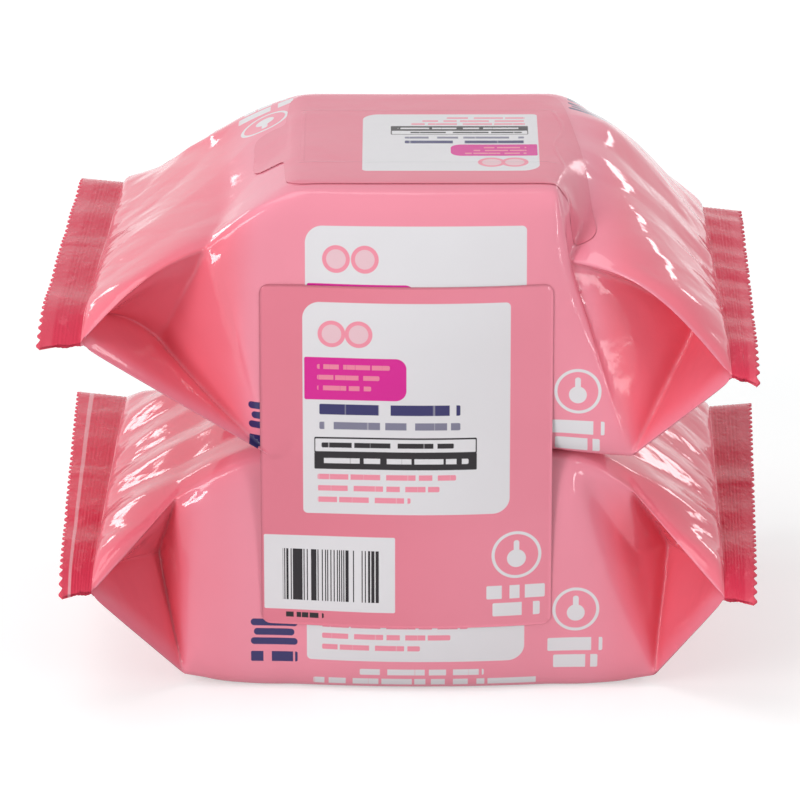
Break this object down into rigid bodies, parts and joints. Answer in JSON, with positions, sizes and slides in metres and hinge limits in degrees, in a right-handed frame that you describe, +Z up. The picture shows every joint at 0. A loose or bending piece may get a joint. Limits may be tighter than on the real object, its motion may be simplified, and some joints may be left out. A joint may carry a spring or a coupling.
{
  "type": "wet wipes pack",
  "caption": "Two soft flow-wrapped pouches of wet wipes, stacked and held by one front label, with crimped end seals and a reseal label on top.",
  "frame": {"origin": "middle of the flat underside of the lower pouch, under its stack of wipes", "axes": "+X from the left end seal to the right end seal, -Y to the front with the label, +Z up"},
  "size_m": [0.232, 0.17, 0.1712],
  "materials": {
    "film": "glossy printed film",
    "label_film": "glossy clear label"
  },
  "bodies": {
    "root": {"lower_pouch": "film", "upper_pouch": "film", "lower_reseal_label": "label_film", "upper_reseal_label": "label_film", "bundle_label": "label_film"}
  },
  "joints": []
}
